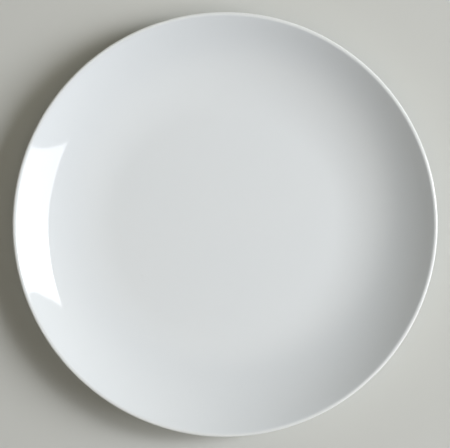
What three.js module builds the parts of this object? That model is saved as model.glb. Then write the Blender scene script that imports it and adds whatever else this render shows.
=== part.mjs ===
// A round coupe plate in white glazed porcelain: a flat floor that curves up into a flared wall,
// a soft rounded lip, and a foot ring underneath. It is one fired piece, turned about its axis.
// Millimetres, +Z up. The origin is on the axis, in the plane that the foot ring stands on.

import * as THREE from 'three';

// Driving dimensions of the plate.
const PLATE_DIAMETER = 270; // over the lip
const PLATE_HEIGHT = 25; // from the foot ring's land to the top of the lip
const FLOOR_THICKNESS = 4.3; // body under the flat floor

// Driving dimensions of the wall, measured inwards from the lip.
const WALL_REACH = 64; // level distance from the lip to the edge of the flat floor
const WALL_SLOPE_DEG = 30; // rise of the wall's upper face below the lip, from level
const WALL_TAPER_DEG = 3.5; // how much steeper the underside is there, so the wall thins to the lip
const FLARE_LENGTH = 4; // straight part of the wall below the lip

// The lip is the end of an ellipse whose long axis lies along the wall.
const LIP_THICKNESS = 2.8; // the ellipse's full width, across the wall
const LIP_LENGTH = 3; // from the ellipse's centre to its end, along the wall

// Driving dimensions of the foot ring.
const LIP_OVERHANG = 58.5; // level distance from the lip to the outer edge of the land
const LAND_WIDTH = 2.4; // flat ground ring that stands on the table
const FOOT_HEIGHT = 2.8; // from the land up to the recessed base
const FOOT_LEAN_DEG = 25; // lean of the ring's two sides, from upright
const FOOT_EDGE_RADIUS = 0.6; // between the land and the sides
const FOOT_ROOT_RADIUS = 2.5; // between the sides and the underside

// Fineness of the facets: steps round the axis, and how far a facet may lie off its curve.
const STEPS_AROUND = 96;
const FACET_SAG = 0.04;

const GLAZE = { color: 0xe4e8e6, roughness: 0.12, metalness: 0 };

const point = (radius, height) => new THREE.Vector2(radius, height);
const direction = (angle) => point(Math.cos(angle), Math.sin(angle));
const along = (from, way, distance) => from.clone().addScaledVector(way, distance);
const towards = (from, to) => to.clone().sub(from).normalize();

// The arc that rounds the corner between two straight runs.
function cornerArc(before, corner, after, radius) {
  const back = towards(corner, before);
  const ahead = towards(corner, after);
  const halfAngle = Math.acos(back.dot(ahead)) / 2;
  const setback = radius / Math.tan(halfAngle);
  const centre = along(corner, back.clone().add(ahead).normalize(), radius / Math.sin(halfAngle));
  const start = along(corner, back, setback).sub(centre).angle();
  const end = along(corner, ahead, setback).sub(centre).angle();
  return new THREE.ArcCurve(centre.x, centre.y, radius, start, end, back.cross(ahead) > 0);
}

// The lip's rounding, from its underside up to its upper face. It touches the outermost radius and
// the top height, and it is tangent to both faces of the wall.
function lipRounding(rim, top, upperSlope, underSlope) {
  const halfThickness = LIP_THICKNESS / 2;
  const tilt = (upperSlope + underSlope) / 2;
  const reachOut = Math.hypot(LIP_LENGTH * Math.cos(tilt), halfThickness * Math.sin(tilt));
  const reachUp = Math.hypot(LIP_LENGTH * Math.sin(tilt), halfThickness * Math.cos(tilt));
  const faceAngle = (underSlope - upperSlope) / 2;
  const meet = Math.atan2(halfThickness, LIP_LENGTH * Math.tan(faceAngle));
  const centre = point(rim - reachOut, top - reachUp);
  return new THREE.EllipseCurve(
    centre.x,
    centre.y,
    LIP_LENGTH,
    halfThickness,
    -meet,
    meet,
    false,
    tilt,
  );
}

// Where a line down from a point, at an angle from level, crosses a level height.
function crossing(from, angle, height) {
  return point(from.x - (from.y - height) / Math.tan(angle), height);
}

// Points on a curve, as many as keep its chords within the facet sag.
function pointsOn(curve) {
  const turn = Math.acos(curve.getTangent(0).dot(curve.getTangent(1)));
  const chords = Math.ceil(Math.sqrt((curve.getLength() * turn) / (8 * FACET_SAG)));
  return curve.getPoints(chords);
}

// The plate's half section, from the axis under the base, out round the lip and back over the floor.
function halfSection() {
  const rim = PLATE_DIAMETER / 2;
  const baseCentre = point(0, FOOT_HEIGHT);
  const floorCentre = point(0, FOOT_HEIGHT + FLOOR_THICKNESS);

  const upperSlope = THREE.MathUtils.degToRad(WALL_SLOPE_DEG);
  const underSlope = upperSlope + THREE.MathUtils.degToRad(WALL_TAPER_DEG);
  const lip = lipRounding(rim, PLATE_HEIGHT, upperSlope, underSlope);

  // The upper face: the straight flare below the lip, and the cove down to the floor.
  const flareStart = along(lip.getPoint(1), direction(upperSlope), -FLARE_LENGTH);
  const floorCorner = crossing(flareStart, upperSlope, floorCentre.y);
  const floorEdge = point(rim - WALL_REACH, floorCentre.y);
  const cove = new THREE.QuadraticBezierCurve(flareStart, floorCorner, floorEdge);

  // The foot ring: its two sides lean out from the land up to the underside.
  const lean = FOOT_HEIGHT * Math.tan(THREE.MathUtils.degToRad(FOOT_LEAN_DEG));
  const landOuter = point(rim - LIP_OVERHANG, 0);
  const landInner = point(landOuter.x - LAND_WIDTH, 0);
  const rootOuter = point(landOuter.x + lean, FOOT_HEIGHT);
  const rootInner = point(landInner.x - lean, FOOT_HEIGHT);

  // The underside: the heel sweeps from the foot ring's outer root to the straight flare.
  const underStart = along(lip.getPoint(0), direction(underSlope), -FLARE_LENGTH);
  const underCorner = crossing(underStart, underSlope, FOOT_HEIGHT);
  const outerRoot = cornerArc(landOuter, rootOuter, underCorner, FOOT_ROOT_RADIUS);
  const heel = new THREE.QuadraticBezierCurve(outerRoot.getPoint(1), underCorner, underStart);

  return [
    baseCentre,
    ...pointsOn(cornerArc(baseCentre, rootInner, landInner, FOOT_ROOT_RADIUS)),
    ...pointsOn(cornerArc(rootInner, landInner, landOuter, FOOT_EDGE_RADIUS)),
    ...pointsOn(cornerArc(landInner, landOuter, rootOuter, FOOT_EDGE_RADIUS)),
    ...pointsOn(outerRoot),
    ...pointsOn(heel).slice(1),
    ...pointsOn(lip),
    ...pointsOn(cove),
    floorCentre,
  ];
}

function makePlate() {
  const geometry = new THREE.LatheGeometry(halfSection(), STEPS_AROUND);
  geometry.rotateX(Math.PI / 2);
  const plate = new THREE.Mesh(geometry, new THREE.MeshStandardMaterial(GLAZE));
  plate.name = 'plate';
  return plate;
}

const model = new THREE.Group();
model.add(makePlate());

export default model;
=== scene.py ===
import math

import bmesh
import bpy
from mathutils import Matrix, Vector


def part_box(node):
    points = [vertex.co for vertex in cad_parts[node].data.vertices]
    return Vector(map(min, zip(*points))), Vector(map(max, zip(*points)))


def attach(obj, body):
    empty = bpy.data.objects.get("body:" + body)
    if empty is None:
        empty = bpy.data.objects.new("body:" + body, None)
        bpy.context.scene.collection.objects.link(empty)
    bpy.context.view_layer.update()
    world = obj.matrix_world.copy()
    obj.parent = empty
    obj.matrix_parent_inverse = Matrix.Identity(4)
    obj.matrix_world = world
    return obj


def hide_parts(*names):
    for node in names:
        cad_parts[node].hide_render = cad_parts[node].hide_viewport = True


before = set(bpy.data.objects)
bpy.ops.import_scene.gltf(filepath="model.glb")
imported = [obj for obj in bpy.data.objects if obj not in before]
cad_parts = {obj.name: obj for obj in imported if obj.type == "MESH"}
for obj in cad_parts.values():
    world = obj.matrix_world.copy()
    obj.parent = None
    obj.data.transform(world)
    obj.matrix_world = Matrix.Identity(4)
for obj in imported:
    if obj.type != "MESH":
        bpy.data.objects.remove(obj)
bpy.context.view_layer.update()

# The plate is one body of white porcelain, pressed by a turning roller head, so that every section
# through its axis is alike. It was dipped in clear glaze, wiped clean under the foot ring so that it
# wouldn't stick, and fired standing on that bare ring.

# The plate's sizes and all patterns are in millimetres. The ground, studio and camera are in metres.
MM = 0.001
plate_low, plate_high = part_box("plate")
RIM_RADIUS = plate_high.x / MM
RIM_HEIGHT = plate_high.z / MM
FLOOR_HEIGHT = 7.1
FLOOR_RADIUS = RIM_RADIUS - 64.0
WALL_SLOPE = math.radians(30.0)
WALL_TAPER = math.radians(3.5)
FLARE_LENGTH = 4.0
LIP_THICKNESS = 2.8
LIP_LENGTH = 2.3
FOOT_HEIGHT = 2.8
FOOT_OUTER_RADIUS = RIM_RADIUS - 58.5
FOOT_LAND_WIDTH = 2.4
FOOT_LEAN = math.radians(25.0)
FOOT_EDGE_RADIUS = 0.6
FOOT_ROOT_RADIUS = 2.5
GLAZE_COAT = 0.15
GLAZE_LINE_HEIGHT = 0.9
SAME_PLACE = 1e-6
STEPS_AROUND = 288
FLAT_STEPS = 16
FLARE_STEPS = 4
LIP_STEPS = 72
COVE_STEPS = 72
HEEL_STEPS = 56
FOOT_EDGE_STEPS = 8
FOOT_ROOT_STEPS = 12
GLAZE_EDGE_STEPS = 5


def rising(angle):
    """The direction in the section that rises at this angle from level, outwards."""
    return Vector((math.cos(angle), math.sin(angle)))


def straight(start, end, steps):
    """Points from start to end, in equal steps."""
    return [start.lerp(end, step / steps) for step in range(steps + 1)]


def sweep(start, corner, end, steps):
    """Points on the curve that leaves start for the corner and comes to end from it."""
    runs = zip(straight(start, corner, steps), straight(corner, end, steps), range(steps + 1))
    return [first.lerp(second, step / steps) for first, second, step in runs]


def rounded(before, corner, after, radius, steps):
    """Points on the arc that rounds the corner between two straight runs."""
    back = (before - corner).normalized()
    ahead = (after - corner).normalized()
    half_angle = back.angle(ahead) / 2
    centre = corner + (back + ahead).normalized() * (radius / math.sin(half_angle))
    first = corner + back * (radius / math.tan(half_angle)) - centre
    last = corner + ahead * (radius / math.tan(half_angle)) - centre
    turn = math.atan2(first.cross(last), first.dot(last))
    return [centre + Matrix.Rotation(turn * step / steps, 2) @ first for step in range(steps + 1)]


def lip_rounding(steps):
    """Points on the lip from its underside to its top face: the end of an ellipse along the wall."""
    half = LIP_THICKNESS / 2
    tilt = WALL_SLOPE + WALL_TAPER / 2
    out = math.hypot(LIP_LENGTH * math.cos(tilt), half * math.sin(tilt))
    up = math.hypot(LIP_LENGTH * math.sin(tilt), half * math.cos(tilt))
    centre = Vector((RIM_RADIUS - out, RIM_HEIGHT - up))
    meet = math.atan2(half, LIP_LENGTH * math.tan(WALL_TAPER / 2))
    angles = [meet * (2 * step / steps - 1) for step in range(steps + 1)]
    turned = Matrix.Rotation(tilt, 2)
    return [centre + turned @ Vector((LIP_LENGTH * math.cos(a), half * math.sin(a))) for a in angles]


def crossing(point, angle, height):
    """Where the line down from a point, at an angle from level, crosses a height."""
    return Vector((point.x - (point.y - height) / math.tan(angle), height))


def foot_side(outward):
    """One side of the foot ring, from its bare edge by the land up to its glazed root.

    Gives the bare points and the glazed ones. The glaze stops above the land in a small rolled edge.
    """
    middle = FOOT_OUTER_RADIUS - FOOT_LAND_WIDTH / 2
    land_edge = Vector((middle + outward * FOOT_LAND_WIDTH / 2, 0.0))
    slant = Vector((outward * math.sin(FOOT_LEAN), math.cos(FOOT_LEAN)))
    face = Vector((outward * math.cos(FOOT_LEAN), -math.sin(FOOT_LEAN)))
    root = land_edge + slant * (FOOT_HEIGHT / slant.y)
    bare_edge = land_edge - Vector((outward * GLAZE_COAT / math.cos(FOOT_LEAN), 0.0))
    bare_top = bare_edge + slant * (GLAZE_LINE_HEIGHT / slant.y)
    glaze_low = bare_top + face * GLAZE_COAT
    glaze_top = glaze_low + slant * GLAZE_COAT * 2
    land_middle = Vector((middle, 0.0))
    bare = rounded(land_middle, bare_edge, bare_top, FOOT_EDGE_RADIUS, FOOT_EDGE_STEPS) + [bare_top]
    away = root + Vector((outward * FOOT_OUTER_RADIUS, 0.0))
    glazed = sweep(bare_top, glaze_low, glaze_top, GLAZE_EDGE_STEPS)
    glazed += rounded(glaze_top, root, away, FOOT_ROOT_RADIUS, FOOT_ROOT_STEPS)
    return bare, glazed


def plate_section():
    """The half section as runs of points, each glazed or bare, from under the base round to the floor."""
    lip = lip_rounding(LIP_STEPS)
    under_slope = WALL_SLOPE + WALL_TAPER
    under_start = lip[0] - rising(under_slope) * FLARE_LENGTH
    flare_start = lip[-1] - rising(WALL_SLOPE) * FLARE_LENGTH
    under_corner = crossing(under_start, under_slope, FOOT_HEIGHT)
    floor_corner = crossing(flare_start, WALL_SLOPE, FLOOR_HEIGHT)
    floor_edge = Vector((FLOOR_RADIUS, FLOOR_HEIGHT))
    inner_bare, inner_glazed = foot_side(-1)
    outer_bare, outer_glazed = foot_side(1)
    base_centre = Vector((0.0, FOOT_HEIGHT))
    floor_centre = Vector((0.0, FLOOR_HEIGHT))
    base = straight(base_centre, inner_glazed[-1], FLAT_STEPS) + inner_glazed[::-1]
    foot = inner_bare[::-1] + outer_bare
    heel = sweep(outer_glazed[-1], under_corner, under_start, HEEL_STEPS)
    wall = straight(under_start, lip[0], FLARE_STEPS) + lip
    wall += straight(lip[-1], flare_start, FLARE_STEPS)
    cove = sweep(flare_start, floor_corner, floor_edge, COVE_STEPS)
    top = cove + straight(floor_edge, floor_centre, FLAT_STEPS)
    return [(base, "glazed"), (foot, "bare"), (outer_glazed + heel + wall + top, "glazed")]


def turned_body(name, section, materials):
    """The solid that a section makes when it turns round the axis, with a material for each run."""
    points = []
    finishes = []
    for run, finish in section:
        for point in run:
            if points and (point - points[-1]).length < SAME_PLACE:
                continue
            points.append(point)
            finishes.append(finish)
    body = bmesh.new()
    rings = []
    for point in points:
        around = STEPS_AROUND if point.x > SAME_PLACE else 1
        turns = [2 * math.pi * step / around for step in range(around)]
        place = [(point.x * math.cos(t) * MM, point.x * math.sin(t) * MM, point.y * MM) for t in turns]
        rings.append([body.verts.new(co) for co in place])
    for inner, outer, finish in zip(rings, rings[1:], finishes[1:]):
        for step in range(STEPS_AROUND):
            following = (step + 1) % STEPS_AROUND
            corners = [inner[step % len(inner)], outer[step % len(outer)]]
            corners += [outer[following % len(outer)], inner[following % len(inner)]]
            face = body.faces.new(dict.fromkeys(corners))
            face.smooth = True
            face.material_index = list(materials).index(finish)
    bmesh.ops.recalc_face_normals(body, faces=body.faces)
    mesh = bpy.data.meshes.new(name)
    body.to_mesh(mesh)
    body.free()
    for material in materials.values():
        mesh.materials.append(material)
    piece = bpy.data.objects.new(name, mesh)
    bpy.context.scene.collection.objects.link(piece)
    return piece


def linear(colour):
    """An sRGB hex colour as the linear values that a shader takes."""
    parts = [int(colour[i : i + 2], 16) / 255 for i in (1, 3, 5)]
    return (*[p / 12.92 if p <= 0.04045 else ((p + 0.055) / 1.055) ** 2.4 for p in parts], 1.0)


def socket(sockets, identifier):
    """A node's socket by its identifier, which no other socket on that side of the node has."""
    return next(s for s in sockets if s.identifier == identifier)


def add_node(tree, kind, inputs, **options):
    """Adds a node. Each input is a value, or the pair of a node and its output to link from."""
    node = tree.nodes.new(kind)
    for option, value in options.items():
        setattr(node, option, value)
    for identifier, value in inputs.items():
        target = socket(node.inputs, identifier)
        if isinstance(value, tuple) and isinstance(value[0], bpy.types.Node):
            tree.links.new(socket(value[0].outputs, value[1]), target)
        else:
            target.default_value = value
    return node


def new_material(name):
    """An empty node material and its tree."""
    material = bpy.data.materials.new(name)
    material.use_nodes = True
    material.node_tree.nodes.clear()
    return material, material.node_tree


def per_metre(size):
    """The scale at which a pattern repeats once in this many millimetres."""
    return 1.0 / (size * MM)


# Glazed porcelain: a clear glass coat over a white body. It gives sharp reflections with a faint
# swimming edge, a cool white that is lighter and less blue where the coat is thin at the lip, faint
# rings from the turning, and a few fine specks.
GLAZE_WHITE = linear("#EAEEF1")
GLAZE_COOL = linear("#E7ECF0")
GLAZE_THIN = linear("#EEF0F0")
SPECK_TAN = linear("#B9B4A9")
TONE_PATCH = 70.0
THIN_BAND = 3.0
RIPPLE_WIDTH = 11.0
RIPPLE_HEIGHT = 0.004
RING_PITCH = 2.6
RING_HEIGHT = 0.0006
SPECK_SPACING = 30.0
SPECK_RADIUS = 0.28
SPECK_SHARE = 0.3
GLOSS_PATCH = 18.0
GLAZE_SMOOTHEST = 0.03
GLAZE_ROUGHEST = 0.06
GLAZE_IOR = 1.52


def glazed_porcelain():
    material, tree = new_material("glazed_porcelain")
    place = add_node(tree, "ShaderNodeTexCoord", {})
    flat = add_node(
        tree,
        "ShaderNodeVectorMath",
        {"Vector": (place, "Object"), "Vector_001": (1.0, 1.0, 0.0)},
        operation="MULTIPLY",
    )
    radius = add_node(tree, "ShaderNodeVectorMath", {"Vector": (flat, "Vector")}, operation="LENGTH")

    tone = add_node(
        tree,
        "ShaderNodeTexNoise",
        {"Vector": (place, "Object"), "Scale": per_metre(TONE_PATCH), "Detail": 3.0},
    )
    white = add_node(
        tree,
        "ShaderNodeMix",
        {"Factor_Float": (tone, "Fac"), "A_Color": GLAZE_WHITE, "B_Color": GLAZE_COOL},
        data_type="RGBA",
    )
    thin = add_node(
        tree,
        "ShaderNodeMapRange",
        {
            "Value": (radius, "Value"),
            "From Min": (RIM_RADIUS - THIN_BAND) * MM,
            "From Max": RIM_RADIUS * MM,
        },
        interpolation_type="SMOOTHSTEP",
    )
    edged = add_node(
        tree,
        "ShaderNodeMix",
        {"Factor_Float": (thin, "Result"), "A_Color": (white, "Result_Color"), "B_Color": GLAZE_THIN},
        data_type="RGBA",
    )

    cells = add_node(
        tree,
        "ShaderNodeTexVoronoi",
        {"Vector": (flat, "Vector"), "Scale": per_metre(SPECK_SPACING)},
        voronoi_dimensions="2D",
    )
    chance = add_node(tree, "ShaderNodeSeparateColor", {"Color": (cells, "Color")})
    chosen = add_node(
        tree,
        "ShaderNodeMath",
        {"Value": (chance, "Red"), "Value_001": SPECK_SHARE},
        operation="LESS_THAN",
    )
    size = add_node(
        tree,
        "ShaderNodeMath",
        {"Value": (chance, "Green"), "Value_001": SPECK_RADIUS / SPECK_SPACING},
        operation="MULTIPLY",
    )
    dot = add_node(
        tree,
        "ShaderNodeMapRange",
        {"Value": (cells, "Distance"), "From Min": (size, "Value"), "From Max": 0.0},
        interpolation_type="SMOOTHSTEP",
    )
    speck = add_node(
        tree,
        "ShaderNodeMath",
        {"Value": (dot, "Result"), "Value_001": (chosen, "Value")},
        operation="MULTIPLY",
    )
    colour = add_node(
        tree,
        "ShaderNodeMix",
        {"Factor_Float": (speck, "Value"), "A_Color": (edged, "Result_Color"), "B_Color": SPECK_TAN},
        data_type="RGBA",
    )

    gloss = add_node(
        tree,
        "ShaderNodeTexNoise",
        {"Vector": (place, "Object"), "Scale": per_metre(GLOSS_PATCH), "Detail": 4.0},
    )
    roughness = add_node(
        tree,
        "ShaderNodeMapRange",
        {"Value": (gloss, "Fac"), "To Min": GLAZE_SMOOTHEST, "To Max": GLAZE_ROUGHEST},
    )

    ripple = add_node(
        tree,
        "ShaderNodeTexNoise",
        {"Vector": (place, "Object"), "Scale": per_metre(RIPPLE_WIDTH), "Detail": 1.0},
    )
    swim = add_node(
        tree,
        "ShaderNodeBump",
        {"Height": (ripple, "Fac"), "Distance": RIPPLE_HEIGHT * MM},
    )
    pitch = add_node(
        tree,
        "ShaderNodeMath",
        {"Value": (radius, "Value"), "Value_001": per_metre(RING_PITCH)},
        operation="MULTIPLY",
    )
    rings = add_node(
        tree,
        "ShaderNodeTexNoise",
        {"W": (pitch, "Value"), "Scale": 1.0, "Detail": 1.0},
        noise_dimensions="1D",
    )
    surface = add_node(
        tree,
        "ShaderNodeBump",
        {"Height": (rings, "Fac"), "Distance": RING_HEIGHT * MM, "Normal": (swim, "Normal")},
    )
    glaze = add_node(
        tree,
        "ShaderNodeBsdfPrincipled",
        {
            "Base Color": (colour, "Result_Color"),
            "Roughness": (roughness, "Result"),
            "Normal": (surface, "Normal"),
            "IOR": GLAZE_IOR,
        },
    )
    add_node(tree, "ShaderNodeOutputMaterial", {"Surface": (glaze, "BSDF")})
    return material


# Biscuit: the same porcelain without glaze, on the ring that stood on the kiln shelf. It looks dry
# and matt, a little creamier than the glaze, with a grit that is drawn coarser than the real one so
# that it shows.
BISCUIT_CREAM = linear("#E2DDD2")
BISCUIT_GREY = linear("#CFC9BD")
BISCUIT_ROUGHNESS = 0.75
BISCUIT_IOR = 1.5
GRIT = 0.35
GRIT_HEIGHT = 0.02


def biscuit_porcelain():
    material, tree = new_material("biscuit_porcelain")
    place = add_node(tree, "ShaderNodeTexCoord", {})
    grit = add_node(
        tree,
        "ShaderNodeTexNoise",
        {"Vector": (place, "Object"), "Scale": per_metre(GRIT), "Detail": 4.0},
    )
    colour = add_node(
        tree,
        "ShaderNodeMix",
        {"Factor_Float": (grit, "Fac"), "A_Color": BISCUIT_CREAM, "B_Color": BISCUIT_GREY},
        data_type="RGBA",
    )
    surface = add_node(
        tree,
        "ShaderNodeBump",
        {"Height": (grit, "Fac"), "Distance": GRIT_HEIGHT * MM},
    )
    biscuit = add_node(
        tree,
        "ShaderNodeBsdfPrincipled",
        {
            "Base Color": (colour, "Result_Color"),
            "Normal": (surface, "Normal"),
            "Roughness": BISCUIT_ROUGHNESS,
            "IOR": BISCUIT_IOR,
        },
    )
    add_node(tree, "ShaderNodeOutputMaterial", {"Surface": (biscuit, "BSDF")})
    return material


plate = turned_body(
    "porcelain_plate",
    plate_section(),
    {"glazed": glazed_porcelain(), "bare": biscuit_porcelain()},
)
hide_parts("plate")
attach(plate, "root")

# The ground is a wide sheet of matt pale grey card, lying flat. Near the plate it takes the real light,
# and further out it is shown in a plain pale grey, so that low views end in a plain backdrop. Its fibre
# is drawn coarser than the real one so that it shows.
GROUND_GREY = linear("#D0D1CD")
BACKDROP_GREY = linear("#C8C9C3")
GROUND_HALF_WIDTH = 20.0
LIT_REACH = 0.2
BACKDROP_REACH = 0.6
CARD_FIBRE = 0.6
CARD_FIBRE_HEIGHT = 0.02
CARD_ROUGHNESS = 0.85
CARD_SHINE = 0.2


def seen_directly(tree):
    """A factor of 1 for what the eye or a reflection sees, and 0 for light that falls on things."""
    path = add_node(tree, "ShaderNodeLightPath", {})
    seen = add_node(
        tree,
        "ShaderNodeMath",
        {"Value": (path, "Is Camera Ray"), "Value_001": (path, "Is Glossy Ray")},
        operation="MAXIMUM",
    )
    return add_node(
        tree,
        "ShaderNodeMath",
        {"Value": (seen, "Value"), "Value_001": (path, "Is Transmission Ray")},
        operation="MAXIMUM",
    )


def grey_card():
    material, tree = new_material("grey_card")
    place = add_node(tree, "ShaderNodeTexCoord", {})
    distance = add_node(
        tree, "ShaderNodeVectorMath", {"Vector": (place, "Object")}, operation="LENGTH"
    )
    far = add_node(
        tree,
        "ShaderNodeMapRange",
        {"Value": (distance, "Value"), "From Min": LIT_REACH, "From Max": BACKDROP_REACH},
        interpolation_type="SMOOTHSTEP",
    )
    backdrop = add_node(
        tree,
        "ShaderNodeMath",
        {"Value": (far, "Result"), "Value_001": (seen_directly(tree), "Value")},
        operation="MULTIPLY",
    )
    fibre = add_node(
        tree,
        "ShaderNodeTexNoise",
        {"Vector": (place, "Object"), "Scale": per_metre(CARD_FIBRE), "Detail": 3.0},
    )
    surface = add_node(
        tree, "ShaderNodeBump", {"Height": (fibre, "Fac"), "Distance": CARD_FIBRE_HEIGHT * MM}
    )
    card = add_node(
        tree,
        "ShaderNodeBsdfPrincipled",
        {
            "Base Color": GROUND_GREY,
            "Roughness": CARD_ROUGHNESS,
            "Specular IOR Level": CARD_SHINE,
            "Normal": (surface, "Normal"),
        },
    )
    glow = add_node(tree, "ShaderNodeEmission", {"Color": BACKDROP_GREY, "Strength": 1.0})
    mixed = add_node(
        tree,
        "ShaderNodeMixShader",
        {"Fac": (backdrop, "Value"), "Shader": (card, "BSDF"), "Shader_001": (glow, "Emission")},
    )
    add_node(tree, "ShaderNodeOutputMaterial", {"Surface": (mixed, "Shader")})
    return material


def flat_sheet(name, half_width, material):
    """A level square sheet at the height that the plate stands on."""
    corners = [(-1, -1), (1, -1), (1, 1), (-1, 1)]
    mesh = bpy.data.meshes.new(name)
    mesh.from_pydata([(x * half_width, y * half_width, plate_low.z) for x, y in corners], [], [range(4)])
    mesh.materials.append(material)
    sheet = bpy.data.objects.new(name, mesh)
    bpy.context.scene.collection.objects.link(sheet)
    return sheet


ground = flat_sheet("ground", GROUND_HALF_WIDTH, grey_card())

# The studio: one large softbox on the right, of white cloth stretched between its corners with a tube
# nearer one end, gives the bright window on the left wall and the shadow on the ground beyond it. A
# cream ceiling, a pale wall and a low backdrop all round fill that shadow.
SOFTBOX_WIDTH = 1.823
SOFTBOX_HEIGHT = 1.916
SOFTBOX_POWER = 208.5
SOFTBOX_WHITE = linear("#F8FAFE")
TUBE_PLACE = 0.44
TUBE_REACH = 0.58
CLOTH_LEVEL = 0.27
EDGE_SAG = 0.085
CEILING_CREAM = linear("#FFF8E7")
CEILING_LEVEL = 1.087
WALL_CREAM = linear("#FFFCE1")
WALL_LEVEL = 0.34
BACKDROP_LIT_RISE = 0.2
BACKDROP_SEEN_RISE = 0.48
BACKDROP_SEEN_EDGE = 0.08


def studio_lamp(name, width, height, power, colour, turn, lean, distance, tilt, roll=0.0):
    """A flat lamp, turned round the axis from +X and leant down from overhead, all in degrees.

    tilt is how far its face is from level, and roll turns it in its own plane.
    """
    lamp = bpy.data.lights.new(name, "AREA")
    lamp.shape = "RECTANGLE"
    lamp.size = width
    lamp.size_y = height
    lamp.energy = power
    lamp.color = colour[:3]
    holder = bpy.data.objects.new(name, lamp)
    bpy.context.scene.collection.objects.link(holder)
    about_axis = Matrix.Rotation(math.radians(turn), 4, "Z")
    place = about_axis @ Matrix.Rotation(math.radians(lean), 4, "Y") @ Vector((0, 0, distance))
    facing = about_axis @ Matrix.Rotation(math.radians(tilt), 4, "Y")
    spin = Matrix.Rotation(math.radians(90 + roll), 4, "Z")
    holder.matrix_world = Matrix.Translation(place) @ facing @ spin
    return holder


def soft_front(tree):
    """The front of the softbox: brightest along its tube, with edges drawn in between its corners.

    The tube's place and reach, and the edges' sag, are shares of half the softbox's width or height.
    """
    front = add_node(tree, "ShaderNodeNewGeometry", {})
    centred = add_node(
        tree,
        "ShaderNodeVectorMath",
        {"Vector": (front, "Parametric"), "Vector_001": (2.0, 2.0, 0.0), "Vector_002": (-1.0, -1.0, 0.0)},
        operation="MULTIPLY_ADD",
    )
    sides = add_node(tree, "ShaderNodeSeparateXYZ", {"Vector": (centred, "Vector")})
    from_tube = add_node(
        tree,
        "ShaderNodeMath",
        {"Value": (sides, "X"), "Value_001": TUBE_PLACE},
        operation="SUBTRACT",
    )
    off_tube = add_node(tree, "ShaderNodeMath", {"Value": (from_tube, "Value")}, operation="ABSOLUTE")
    light = add_node(
        tree,
        "ShaderNodeMapRange",
        {
            "Value": (off_tube, "Value"),
            "From Max": TUBE_REACH,
            "To Min": 1.0,
            "To Max": CLOTH_LEVEL,
        },
        interpolation_type="SMOOTHSTEP",
    )
    strength = (light, "Result")
    for across, along in (("X", "Y"), ("Y", "X")):
        reach = add_node(tree, "ShaderNodeMath", {"Value": (sides, across)}, operation="ABSOLUTE")
        bow = add_node(
            tree,
            "ShaderNodeMath",
            {"Value": (sides, along), "Value_001": (sides, along)},
            operation="MULTIPLY",
        )
        edge = add_node(
            tree,
            "ShaderNodeMath",
            {"Value": (bow, "Value"), "Value_001": -EDGE_SAG, "Value_002": (reach, "Value")},
            operation="MULTIPLY_ADD",
        )
        inside = add_node(
            tree,
            "ShaderNodeMath",
            {"Value": (edge, "Value"), "Value_001": 1.0 - EDGE_SAG},
            operation="LESS_THAN",
        )
        cut = add_node(
            tree,
            "ShaderNodeMath",
            {"Value": strength, "Value_001": (inside, "Value")},
            operation="MULTIPLY",
        )
        strength = (cut, "Value")
    cloth = add_node(tree, "ShaderNodeEmission", {"Strength": strength})
    add_node(tree, "ShaderNodeOutputLight", {"Surface": (cloth, "Emission")})


softbox = studio_lamp(
    "softbox",
    SOFTBOX_WIDTH,
    SOFTBOX_HEIGHT,
    SOFTBOX_POWER,
    SOFTBOX_WHITE,
    turn=-1.65,
    lean=52.15,
    distance=2.89,
    tilt=56.3,
    roll=-4.2,
)
softbox.data.use_nodes = True
softbox.data.node_tree.nodes.clear()
soft_front(softbox.data.node_tree)


def room_glow(tree, way, level, colour, turn, lean, inner, outer):
    """Light from round one direction in the room, fading out from an inner to an outer angle."""
    about_axis = Matrix.Rotation(math.radians(turn), 3, "Z")
    aim = about_axis @ Matrix.Rotation(math.radians(lean), 3, "Y") @ Vector((0, 0, 1))
    nearness = add_node(
        tree,
        "ShaderNodeVectorMath",
        {"Vector": (way, "Generated"), "Vector_001": aim},
        operation="DOT_PRODUCT",
    )
    strength = add_node(
        tree,
        "ShaderNodeMapRange",
        {
            "Value": (nearness, "Value"),
            "From Min": math.cos(math.radians(outer)),
            "From Max": math.cos(math.radians(inner)),
            "To Max": level,
        },
        interpolation_type="SMOOTHSTEP",
    )
    return add_node(tree, "ShaderNodeBackground", {"Color": colour, "Strength": (strength, "Result")})


def up_to(tree, way, rise, edge):
    """A factor of 1 for directions near the horizon, which fades to 0 over an edge below this rise."""
    upwards = add_node(tree, "ShaderNodeSeparateXYZ", {"Vector": (way, "Generated")})
    return add_node(
        tree,
        "ShaderNodeMapRange",
        {"Value": (upwards, "Z"), "From Min": rise, "From Max": rise - edge},
        interpolation_type="SMOOTHSTEP",
    )


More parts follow.
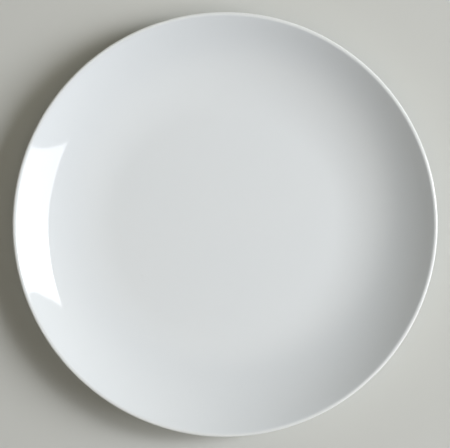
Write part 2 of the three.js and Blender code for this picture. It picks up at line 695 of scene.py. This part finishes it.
def studio_room():
    """The room: its ceiling, its wall, and the pale backdrop, which reflections show to more height."""
    world = bpy.data.worlds.new("studio_room")
    world.use_nodes = True
    tree = world.node_tree
    tree.nodes.clear()
    way = add_node(tree, "ShaderNodeTexCoord", {})
    ceiling = room_glow(
        tree, way, CEILING_LEVEL, CEILING_CREAM, turn=240.0, lean=13.0, inner=4.0, outer=34.0
    )
    wall = room_glow(tree, way, WALL_LEVEL, WALL_CREAM, turn=50.0, lean=70.0, inner=0.0, outer=60.0)
    glows = add_node(
        tree,
        "ShaderNodeAddShader",
        {"Shader": (ceiling, "Background"), "Shader_001": (wall, "Background")},
    )
    lit = up_to(tree, way, BACKDROP_LIT_RISE, BACKDROP_LIT_RISE)
    shown = up_to(tree, way, BACKDROP_SEEN_RISE, BACKDROP_SEEN_EDGE)
    seen = add_node(
        tree,
        "ShaderNodeMath",
        {"Value": (shown, "Result"), "Value_001": (seen_directly(tree), "Value")},
        operation="MULTIPLY",
    )
    either = add_node(
        tree,
        "ShaderNodeMath",
        {"Value": (lit, "Result"), "Value_001": (seen, "Value")},
        operation="MAXIMUM",
    )
    backdrop = add_node(tree, "ShaderNodeBackground", {"Color": BACKDROP_GREY, "Strength": 1.0})
    all_round = add_node(
        tree,
        "ShaderNodeMixShader",
        {
            "Fac": (either, "Value"),
            "Shader": (glows, "Shader"),
            "Shader_001": (backdrop, "Background"),
        },
    )
    add_node(tree, "ShaderNodeOutputWorld", {"Surface": (all_round, "Shader")})
    return world


bpy.context.scene.world = studio_room()
bpy.context.scene.view_settings.view_transform = "Standard"

# The camera hangs over the plate and looks straight down, with the picture's right along +X and its top
# along +Y. The picture's width and the rim's radius in it are in pixels, and together set the lens.
PICTURE_WIDTH = 450
RIM_IN_PICTURE = 212.52
CAMERA_HEIGHT = 1.2
CAMERA_OFF_AXIS = 0.0003
SENSOR_WIDTH = 36.0
eye = bpy.data.cameras.new("camera")
camera = bpy.data.objects.new("camera", eye)
bpy.context.scene.collection.objects.link(camera)
camera.location = (0.0, CAMERA_OFF_AXIS, CAMERA_HEIGHT)
eye.sensor_width = SENSOR_WIDTH
rim_distance = CAMERA_HEIGHT - (RIM_HEIGHT - LIP_THICKNESS / 2) * MM
seen_width = RIM_RADIUS * MM * PICTURE_WIDTH / RIM_IN_PICTURE
eye.lens = SENSOR_WIDTH * rim_distance / seen_width
bpy.context.scene.camera = camera
